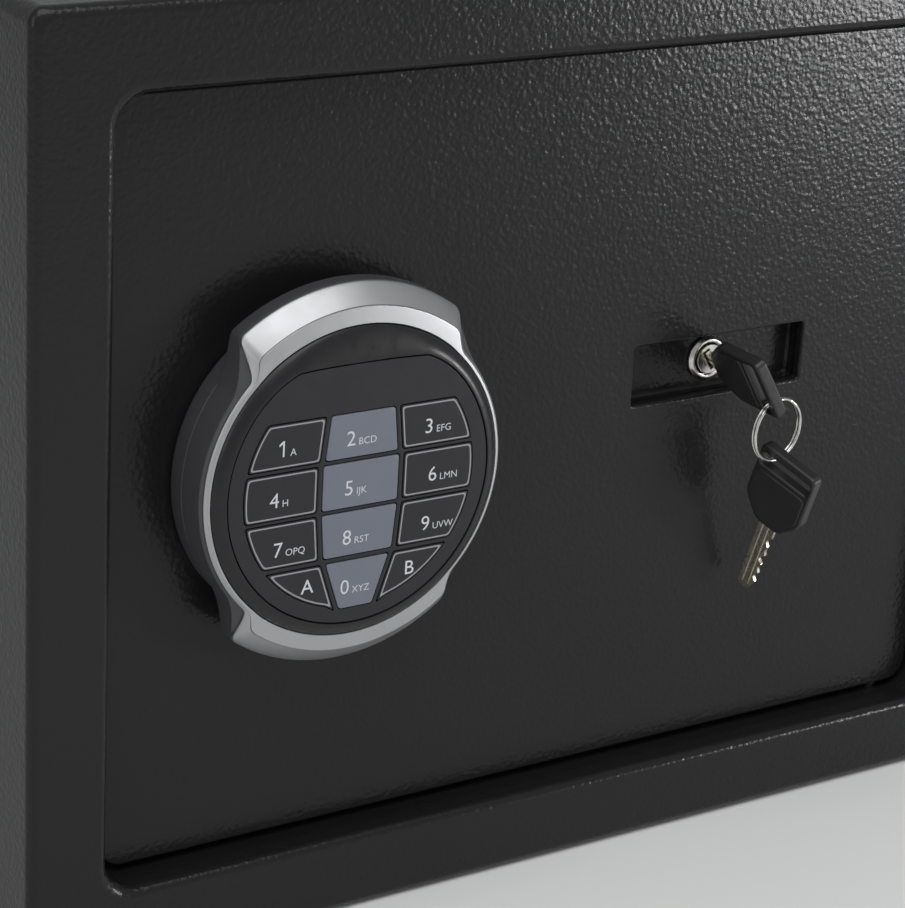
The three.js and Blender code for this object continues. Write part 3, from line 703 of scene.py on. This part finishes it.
def add_door():
    outline = rounded_rectangle(DOOR_LOW.x, DOOR_HIGH.x, DOOR_LOW.z, DOOR_HIGH.z, 8, 10)
    holes = [pocket_outline(0), circle(HANDLE_X, HANDLE_Z, 9.6)]
    plate("door_panel", [outline] + holes, DOOR_LOW.y, DOOR_HIGH.y, 1.0, "door",
          "powder_coat", "door_plate", steps=5)

    bm = bmesh.new()
    rings = [  # margin, y and corner radius
        (5, POCKET_LOW.y, 2), (0, POCKET_LOW.y, 1), (0, POCKET_FLOOR - 0.8, 1),
        (-0.8, POCKET_FLOOR, 1),
    ]
    loops = [bm_loop(bm, pocket_outline(m, r + 0.2), y) for m, y, r in rings]
    flange = POCKET_LOW.y + 1.2
    outer = [(5, flange, 2), (POCKET_SHEET, flange, 2), (POCKET_SHEET, POCKET_HIGH.y, 2)]
    outer_loops = [bm_loop(bm, pocket_outline(m, r + 0.2), y) for m, y, r in outer]
    hole_radius = 7.2
    hole = bm_loop(bm, circle(LOCK_X, LOCK_Z, hole_radius, 48), POCKET_FLOOR)
    hole_back = bm_loop(bm, circle(LOCK_X, LOCK_Z, hole_radius, 48), POCKET_HIGH.y)
    for first, second in zip(loops, loops[1:]):
        bridge(bm, first, second)
    bridge(bm, loops[0], outer_loops[0])
    for first, second in zip(outer_loops, outer_loops[1:]):
        bridge(bm, first, second)
    bridge(bm, hole, hole_back)
    for edges in (
        edges_of(bm, loops[-1]) + edges_of(bm, hole),
        edges_of(bm, outer_loops[-1]) + edges_of(bm, hole_back),
    ):
        bmesh.ops.triangle_fill(bm, edges=edges, use_beauty=True)
    finish_mesh("pocket_pan", bm, "door", "powder_coat", "lock_pocket")


# ---------------------------------------------------------------- keypad handle
def lobe_radius(angle, waist, flat_angle, end_angle, power):
    """Outer radius at an angle in degrees from the nearer lobe's middle."""
    if angle <= flat_angle:
        return GRIP_RADIUS
    if angle >= end_angle:
        return waist
    return waist + (GRIP_RADIUS - waist) * ((end_angle - angle) / (end_angle - flat_angle)) ** power


def grip_directions(count=540):
    """Unit vectors round the handle, each with the radii of the dark wall and the silver face."""
    made = []
    for i in range(count):
        turn = 360 * i / count
        from_vertical = abs((turn + 90) % 180 - 90)
        # Corners are eased over a degree each way.
        near = [max(0.0, from_vertical + d) for d in (-1, -0.5, 0, 0.5, 1)]
        wall = [lobe_radius(a, GRIP_WAIST, GRIP_FLAT_ANGLE, GRIP_END_ANGLE, 2) for a in near]
        face = [
            lobe_radius(a, SILVER_WAIST, SILVER_FLAT_ANGLE, SILVER_END_ANGLE, 1.6) for a in near
        ]
        angle = math.radians(turn)
        wall_radius, face_radius = sum(wall) / len(wall), sum(face) / len(face)
        face_radius = min(face_radius, wall_radius - 0.05)
        made.append((math.sin(angle), math.cos(angle), wall_radius, face_radius))
    return made


def add_grip():
    """The silver collar with its two lobes, and the dark wall that backs it."""
    back = COLLAR_HIGH.y
    directions = grip_directions()
    inner = (BEZEL_HIGH.x - BEZEL_LOW.x) / 2 + 0.15
    full = GRIP_RADIUS - inner
    bore = 46.6
    bm = bmesh.new()

    def loop(place):
        """One ring of vertices; place gives radius and y from the wall's and the face's radius."""
        verts = []
        for x, z, wall, face in directions:
            radius, y = place(wall, face)
            verts.append(bm.verts.new(
                Vector((HANDLE_X + radius * x, y, HANDLE_Z + radius * z)) * MM
            ))
        return verts

    def slope(radius):
        return FACE_EDGE + GRIP_DROP * (radius - inner) / full

    def silver(share, sink):
        """A ring at a share of the way from the face to the rim, sunk by that share of the fall."""
        return loop(lambda wall, face: (
            inner + (face - inner) * share, FACE_EDGE + (slope(face) - FACE_EDGE) * sink
        ))

    # A flat inner band, a small step, then the sloping outer band of the lobes.
    front_steps = [
        (0.0, 0.08), (0.012, 0.02), (0.03, 0.0), (0.25, 0.04), (0.45, 0.08), (0.472, 0.088),
        (0.482, 0.112), (0.486, 0.16), (0.494, 0.182), (0.51, 0.2), (0.62, 0.36), (0.74, 0.54),
        (0.86, 0.73), (0.95, 0.885), (0.985, 0.955), (1.0, 1.0),
    ]
    loops = [loop(lambda wall, face: (inner, back - 4))]
    loops += [silver(share, sink) for share, sink in front_steps]
    loops.append(loop(lambda wall, face: (face, slope(face) + 0.45)))
    loops.append(loop(lambda wall, face: (face - 0.35, slope(face) + 0.6)))
    silver_rows = len(loops) - 1
    loops.append(loop(lambda wall, face: (face - 0.35, slope(face) + 0.8)))
    loops.append(loop(lambda wall, face: (face - 0.1, slope(face) + 0.85)))
    loops.append(loop(lambda wall, face: (wall - 0.5, slope(wall) + 1.0)))
    loops.append(loop(lambda wall, face: (wall - 0.15, slope(wall) + 1.15)))
    loops.append(loop(lambda wall, face: (wall, slope(wall) + 1.5)))
    loops.append(loop(lambda wall, face: (wall, back - 1.0)))
    loops.append(loop(lambda wall, face: (wall - 0.3, back - 0.3)))
    loops.append(loop(lambda wall, face: (wall - 1.0, back)))
    loops.append(loop(lambda wall, face: (bore, back)))
    loops.append(loop(lambda wall, face: (bore, back - 4)))
    for row, (first, second) in enumerate(zip(loops, loops[1:] + loops[:1])):
        bridge(bm, first, second, 0 if row < silver_rows else 1)
    finish_mesh("grip_shell", bm, "handle", ("satin_silver", "dark_plastic"), "grip_collar",
                crease=40)


def add_skirt():
    outer, back = SKIRT_HIGH.x - HANDLE_X, SKIRT_HIGH.y
    wall_top = COLLAR_HIGH.y + 0.3
    inside = outer - 4.2
    lathe("keypad_skirt", [
        (0, wall_top + 3), (inside, wall_top + 3), (inside, back), (outer - 0.6, back),
        (outer, back - 1.4), (outer, wall_top), (46.2, wall_top), (46.2, SKIRT_LOW.y),
        (43.2, SKIRT_LOW.y), (43.2, wall_top), (0, wall_top),
    ], HANDLE_X, HANDLE_Z, "handle", "dark_plastic", "handle_body", sides=160, radius=0.5)


def panel_outline(margin=0.0, sides=180):
    """A circle with a flat across its top, joined by eased corners."""
    points = []
    for i in range(sides):
        turn = TAU * i / sides
        x, z = math.sin(turn), math.cos(turn)
        flat = (PANEL_FLAT + margin) / z if z > 0.3 else 1e9
        ring = PANEL_RADIUS + margin
        blend = 4.0  # larger is a wider easing between the flat and the circle
        radius = -blend * math.log(math.exp(-flat / blend) + math.exp(-ring / blend))
        radius += blend * math.log(1 + math.exp(-abs(flat - ring) / blend)) * 0.6
        points.append((HANDLE_X + radius * x, HANDLE_Z + radius * z))
    return points


def add_face_rim():
    """The dark convex rim that rises from the silver collar to the key panel."""
    outer = (BEZEL_HIGH.x - BEZEL_LOW.x) / 2
    inner = [Vector(point) for point in panel_outline(0.25)]
    centre = Vector((HANDLE_X, HANDLE_Z))
    seat = BEZEL_HIGH.y
    crown = FACE_EDGE - FACE_TOP
    bm = bmesh.new()

    def loop(share, y):
        """share is 0 on the outer circle and 1 on the panel's outline."""
        verts = []
        for edge in inner:
            direction = (edge - centre).normalized()
            place = centre + direction * outer
            place = place.lerp(edge, share)
            verts.append(bm.verts.new((place.x * MM, y * MM, place.y * MM)))
        return verts

    loops = [loop(0, seat), loop(0, FACE_EDGE + 0.3)]
    steps = 10
    for k in range(steps + 1):
        t = k / steps
        rise = math.sin(t * math.pi / 2) ** 0.8 if t else 0
        loops.append(loop(0.02 + 0.95 * t, FACE_EDGE - crown * rise))
    loops.append(loop(1, FACE_TOP + 0.25))
    loops.append(loop(1, seat))
    for first, second in zip(loops, loops[1:] + loops[:1]):
        bridge(bm, first, second)
    finish_mesh("face_rim", bm, "handle", "gloss_black", "face_bezel", crease=50)


def key_corners(row, side):
    """Corners of a key's outline, relative to the handle's centre; side is -1, 0 or 1."""
    top, bottom, half_top, half_bottom, _ = row
    if side == 0:
        return [(-half_top, top), (half_top, top), (half_bottom, bottom), (-half_bottom, bottom)]
    low = math.asin(max(bottom / KEY_CIRCLE, -KEY_LOWEST))
    high = math.asin(top / KEY_CIRCLE)
    steps = 6
    curved = [low + (high - low) * k / steps for k in range(steps + 1)]
    return (
        [(side * (half_top + KEY_COLUMN), top), (side * (half_bottom + KEY_COLUMN), bottom)]
        + [(side * KEY_CIRCLE * math.cos(a), KEY_CIRCLE * math.sin(a)) for a in curved]
    )


def key_outline(row, side, margin=0.0):
    """A key's outline on the panel, moved in by margin, its corners eased."""
    points = smooth(inset(key_corners(row, side), margin), 1.1 if side == 0 else 1.5)
    return [(HANDLE_X + x, HANDLE_Z + z) for x, z in points]


def add_keys():
    holes = []
    for row, baseline in zip(KEY_ROWS, BASELINES):
        for column, (mark, letters, middle) in enumerate(row[4]):
            side = column - 1
            outline = key_outline(row, side)
            holes.append(key_outline(row, side, -0.3))
            low, high = mm_box(f"key_{mark}")
            face = low.y
            bm = bmesh.new()
            add_plate(bm, [outline], face, high.y, 0.18)
            if side:
                line = [key_outline(row, side, margin) for margin in (0.4, 0.85)]
                add_plate(bm, line, face - 0.03, face + 0.1, 0.01, steps=1, material=1)
            x, z, print_y = HANDLE_X + middle, HANDLE_Z + baseline, face - 0.02
            if mark == "1":
                add_one(bm, x, z, print_y, 2)
            elif letters:
                add_text(bm, mark, 4.9, x, z, print_y, 2, weight=-0.03)
            else:
                add_text(bm, mark.upper(), 4.7, x, z + 2.6, print_y, 2)
            if letters:
                add_text(bm, letters, 2.3, x + 2.5, z, print_y, 2, False, -0.02)
            fill = "key_blue" if side == 0 else "key_black"
            finish_mesh(f"keycap_{mark}", bm, f"keypad_key_{mark}",
                        (fill, "outline", "print"), f"key_{mark}")
    low, high = mm_box("key_panel")
    plate("keypad_panel", [panel_outline(-0.1)] + holes, low.y, high.y, 0.15, "handle",
          "key_black", "key_panel")


# ---------------------------------------------------------------- lock, keys and ring
KEY_HALF_LENGTH = 14.5
BLADE_LENGTH = 28.5
BLADE_START = KEY_HALF_LENGTH + 0.3
KEY_THICKNESS = 5
LOCK_TURN = 59
RING_YAW = 8
RING_RADIUS = 10.5
SPARE_YAW, SPARE_TILT, SPARE_LEAN = 73, 20, 9
SPARE_GRIP = (-6.9, -9.5)


def key_in_lock_place():
    """Where the key in the lock has its bow's centre, as a matrix in millimetres."""
    low, high = mm_box("key_bow_a")
    turn = Matrix.Rotation(math.radians(LOCK_TURN), 4, "Y")
    return Matrix.Translation((LOCK_X, (low.y + high.y) / 2, LOCK_Z)) @ turn


def ring_centre():
    return (RING_LOW + RING_HIGH) / 2


def spare_key_place():
    yaw, tilt = math.radians(SPARE_YAW), math.radians(SPARE_TILT)
    across = Vector((math.cos(yaw), -math.sin(yaw), 0))
    up = Vector((0, 0, 1))
    width = across * math.cos(tilt) - up * math.sin(tilt)
    length = -across * math.sin(tilt) - up * math.cos(tilt)
    length = Matrix.Rotation(math.radians(SPARE_LEAN), 3, width) @ length
    axes = Matrix((width, length, width.cross(length))).transposed().to_4x4()
    grip, grip_at = SPARE_GRIP
    place = ring_centre() - up * RING_RADIUS - width * grip - length * grip_at
    return Matrix.Translation(place) @ axes


def both_sides(right):
    """Corners down the right side, and then their mirror images up the left."""
    return right + [(-x, y) for x, y in reversed(right)]


def place_flat(bm, place):
    """Moves a mesh drawn with (x, y plane depth, z) so that it lies in place's x and y."""
    flat = Matrix(((1, 0, 0, 0), (0, 0, 1, 0), (0, -1, 0, 0), (0, 0, 0, 1)))
    scaled_place = place.copy()
    scaled_place.translation *= MM
    bmesh.ops.transform(bm, matrix=scaled_place @ flat, verts=bm.verts)


def add_bow(letter, body, place):
    """A moulded bow: a bevelled body with a raised pad on both faces, below the slot."""
    half = KEY_THICKNESS / 2
    outline = rounded(both_sides([(11.6, -14.5), (11.8, 6.7), (5, 14.5)]), 2.4, 6)
    slot = rounded_rectangle(-10.4, 10.4, -11.3, -6.7, 1.2)
    pad = rounded(both_sides([(10.2, -4.9), (10.3, 6), (4.1, 13.1)]), 1.8, 6)
    bm = bmesh.new()
    add_plate(bm, [outline, slot], -half + 0.4, half - 0.4, 0.8, steps=4)
    for front in (-half, half - 0.9):
        add_plate(bm, [pad], front, front + 0.9, 0.3, steps=3)
    place_flat(bm, place)
    finish_mesh(f"bow_{letter}", bm, body, "bow_plastic", f"key_bow_{letter}")


def blade_outline():
    """The blade in x and y, with a shoulder, cuts along its right edge and a bevelled tip."""
    half, shoulder = 3.3, BLADE_START + 4
    end = BLADE_START + BLADE_LENGTH
    points = [(-half, BLADE_START), (half, BLADE_START), (half, shoulder)]
    cuts = (1.5, 0.7, 1.9, 1.1, 1.6)
    pitch = (BLADE_LENGTH - 8.5) / len(cuts)
    for i, depth in enumerate(cuts):
        y = shoulder + pitch * i
        points += [(half - depth, y + pitch * 0.35), (half - depth, y + pitch * 0.65)]
        points.append((half - 0.25, y + pitch))
    points += [(half - 2.3, end), (-half + 0.9, end), (-half, end - 1)]
    return points


def add_blade(letter, body, place):
    """A flat blade with a milled groove down each face."""
    half = 1.0
    bm = bmesh.new()
    add_plate(bm, [rounded(blade_outline(), 0.3, 2)], -half + 0.35, half - 0.35, 0.12, steps=2)
    ribs = ((-3.3, -1.5), (-0.5, 0.9))
    for front in (-half, half - 0.4):
        for left, right in ribs:
            rib = rounded_rectangle(left, right, BLADE_START, BLADE_START + 26.7, 0.3, 3)
            add_plate(bm, [rib], front, front + 0.4, 0.12, steps=2)
    place_flat(bm, place)
    finish_mesh(f"blade_{letter}", bm, body, "brass", f"key_blade_{letter}")


def add_ring():
    """Two turns of flattened spring wire, side by side, their ends crossing in a short step."""
    centre = ring_centre()
    turns, steps_per_turn, sides = 2, 96, 10
    wire_radial, wire_axial, pitch = 0.6, 0.55, 1.12
    yaw = Matrix.Rotation(math.radians(RING_YAW), 3, "Z")
    total = turns * steps_per_turn
    bm = bmesh.new()
    loops = []
    for i in range(total + 1):
        turn = i / steps_per_turn
        angle = TAU * turn + 1.1
        # The wire steps across from the first layer to the second as it comes round.
        step = min(1.0, max(0.0, (turn - 0.88) / 0.24))
        across = (0.5 - 0.5 * math.cos(math.pi * step) - 0.5) * pitch
        end = min(i, total - i) / 6
        taper = min(1.0, 0.55 + 0.45 * end)
        radial = Vector((math.cos(angle), 0, math.sin(angle)))
        loop = []
        for k in range(sides):
            bend = TAU * k / sides
            out = RING_RADIUS + wire_radial * taper * math.cos(bend)
            local = radial * out + Vector((0, across + wire_axial * taper * math.sin(bend), 0))
            loop.append(bm.verts.new((centre + yaw @ local) * MM))
        loops.append(loop)
    for first, second in zip(loops, loops[1:]):
        bridge(bm, first, second)
    bm.faces.new(loops[0])
    bm.faces.new(loops[-1])
    finish_mesh("key_ring", bm, "ring", "nickel", "split_ring", crease=60)


def add_lock():
    """The lock's barrel and its flange in the floor of the pocket."""
    lathe("lock_barrel", [
        (5.35, LOCK_HIGH.y), (5.35, LOCK_LOW.y + 0.6), (5.9, LOCK_LOW.y), (6.6, LOCK_LOW.y),
        (7.75, LOCK_LOW.y + 0.9), (7.75, POCKET_FLOOR - 0.3), (6.9, POCKET_FLOOR - 0.3),
        (6.9, LOCK_HIGH.y),
        (5.35, LOCK_HIGH.y),
    ], LOCK_X, LOCK_Z, "door", "nickel", "lock_housing", sides=96, radius=0.15)


# ---------------------------------------------------------------- inside the door and the body
def add_screw(bm, x, z, seat, radius=3.0, material=0):
    """A domed screw head with a hexagonal socket, standing on a face that looks towards +y."""
    head = 1.5
    socket = [(x + 0.45 * radius * math.cos(a), z + 0.45 * radius * math.sin(a))
              for a in (TAU * k / 6 for k in range(6))]
    add_plate(bm, [circle(x, z, radius, 32), socket], seat - 0.6, seat + head, 0.45,
              material=material)
    add_plate(bm, [circle(x, z, radius * 0.6, 16)], seat - 0.4, seat + 0.5, 0.1, steps=1,
              material=material)


def add_inner_cover():
    """The door's inner cover, with vents and a pressed bead, and the battery lid in its hatch."""
    low, high = mm_box("door_inner_cover")
    hatch_low, hatch_high = mm_box("battery_cover")
    gap = 0.7
    hatch_hole = rounded_rectangle(
        hatch_low.x - gap, hatch_high.x + gap, hatch_low.z - gap, hatch_high.z + gap, 1.5,
    )
    middle = (low.x + high.x) / 2
    vents = [
        rounded_rectangle(middle + 20, middle + 60, z - 1.2, z + 1.2, 1.1, 4)
        for z in (212 + 6 * k for k in range(6))
    ]
    outline = rounded_rectangle(low.x, high.x, low.z, high.z, 4)
    bm = bmesh.new()
    add_plate(bm, [outline, hatch_hole] + vents, low.y, high.y, 0.5, steps=4)
    bead = rounded_rectangle(low.x + 14, high.x - 14, low.z + 13, high.z - 13, 8, 8)
    add_plate(bm, [bead, inset(bead, 3.2)], high.y - 0.5, high.y + 0.9, 0.7, steps=4)
    collar = rounded_rectangle(
        hatch_low.x - 4, hatch_high.x + 4, hatch_low.z - 4, hatch_high.z + 4, 3,
    )
    add_plate(bm, [collar, inset(collar, 2.6)], high.y - 0.5, high.y + 0.6, 0.4)
    for x in (low.x + 7, middle, high.x - 7):
        for z in (low.z + 6.5, high.z - 6.5):
            add_screw(bm, x, z, high.y, material=1)
    for x in (low.x + 7, high.x - 7):
        add_screw(bm, x, (low.z + high.z) / 2, high.y, material=1)
    finish_mesh("inner_cover", bm, "door", ("inner_paint", "zinc_steel"), "door_inner_cover")

    bm = bmesh.new()
    lid = rounded_rectangle(hatch_low.x, hatch_high.x, hatch_low.z, hatch_high.z, 1.2)
    add_plate(bm, [lid], hatch_low.y, hatch_high.y, 0.35)
    centre = (hatch_low.x + hatch_high.x) / 2
    for k in range(7):
        z = hatch_low.z + 9 + 3.6 * k
        rib = rounded_rectangle(hatch_low.x + 7, hatch_high.x - 7, z, z + 1.4, 0.6, 3)
        add_plate(bm, [rib], hatch_high.y - 0.3, hatch_high.y + 0.6, 0.3)
    latch = rounded_rectangle(centre - 9, centre + 9, hatch_high.z - 9, hatch_high.z - 2.5, 2.5)
    add_plate(bm, [latch, inset(latch, 1.4)], hatch_high.y - 0.3, hatch_high.y + 1.1, 0.4)
    grip = rounded_rectangle(centre - 6, centre + 6, hatch_high.z - 6.6, hatch_high.z - 5, 0.7, 3)
    add_plate(bm, [grip], hatch_high.y - 0.3, hatch_high.y + 1.3, 0.4)
    finish_mesh("battery_lid", bm, "battery_hatch", "inner_paint", "battery_cover")


def add_mat():
    """Felt with a rounded edge and a raised welt sewn round it."""
    low, high = mm_box("floor_mat")
    outline = rounded_rectangle(low.x, high.x, -high.y, -low.y, 6)
    bm = bmesh.new()
    add_plate(bm, [outline], 0, high.z - low.z - 0.3, 0.7, steps=4)
    welt = inset(outline, 3)
    add_plate(bm, [welt, inset(welt, 2)], 0.5, high.z - low.z, 0.3)
    lay_flat = Matrix(((1, 0, 0, 0), (0, 0, -1, 0), (0, 1, 0, low.z * MM), (0, 0, 0, 1)))
    bmesh.ops.transform(bm, matrix=lay_flat, verts=bm.verts)
    finish_mesh("felt_mat", bm, "cabinet", "felt", "floor_mat")


def add_bolts():
    """Turned locking bolts with a chamfered tip and two grooves, lying along x."""
    for side in ("lower", "upper"):
        low, high = mm_box(f"locking_bolt_{side}")
        radius, length = (high.z - low.z) / 2, high.x - low.x
        profile = [
            (0, 0), (radius - 2, 0), (radius, 2), (radius, 5), (radius - 0.4, 5.2),
            (radius - 0.4, 6.2), (radius, 6.4), (radius, length - 8), (radius - 0.8, length - 7.6),
            (radius - 0.8, length - 6.6), (radius, length - 6.2), (radius, length - 0.8),
            (radius - 0.8, length), (0, length),
        ]
        bm = bmesh.new()
        add_lathe(bm, soften(profile, 0.5, 3), 0, 0, 64)
        origin = Vector((low.x, (low.y + high.y) / 2, (low.z + high.z) / 2)) * MM
        turn = Matrix.Translation(origin) @ Matrix.Rotation(-math.pi / 2, 4, "Z")
        bmesh.ops.transform(bm, matrix=turn, verts=bm.verts)
        finish_mesh(f"bolt_{side}", bm, "bolt_work", "zinc_steel", f"locking_bolt_{side}")


# ---------------------------------------------------------------- CAD nodes that stay in view
def dress_cad_nodes():
    """Bevelled edges and a fitting material on every CAD node that nothing replaces."""
    slots = {row["node"]: row["material_slot"] for row in frame["record"]["subparts"]}
    for name, node in frame["nodes"].items():
        if node.hide_render:
            continue
        node.data.materials.clear()
        node.data.materials.append(look(slots[name]))
        weld = node.modifiers.new("weld", "WELD")
        weld.merge_threshold = 1e-6
        flatten = node.modifiers.new("flatten", "DECIMATE")
        flatten.decimate_type = "DISSOLVE"
        flatten.angle_limit = math.radians(1)
        bevel = node.modifiers.new("bevel", "BEVEL")
        bevel.width = 0.35 * MM
        bevel.segments = 2
        bevel.limit_method = "ANGLE"
        bevel.angle_limit = math.radians(40)
        weighted = node.modifiers.new("weighted", "WEIGHTED_NORMAL")
        weighted.keep_sharp = True


# ---------------------------------------------------------------- scene
add_camera()
add_studio()
add_shell()
add_back_panel()
add_door()
add_skirt()
add_grip()
add_face_rim()
add_keys()
add_lock()
for letter, body, place in (
    ("a", "key_in_lock", key_in_lock_place()), ("b", "spare_key", spare_key_place()),
):
    add_bow(letter, body, place)
    add_blade(letter, body, place)
add_ring()
add_inner_cover()
add_mat()
add_bolts()
dress_cad_nodes()
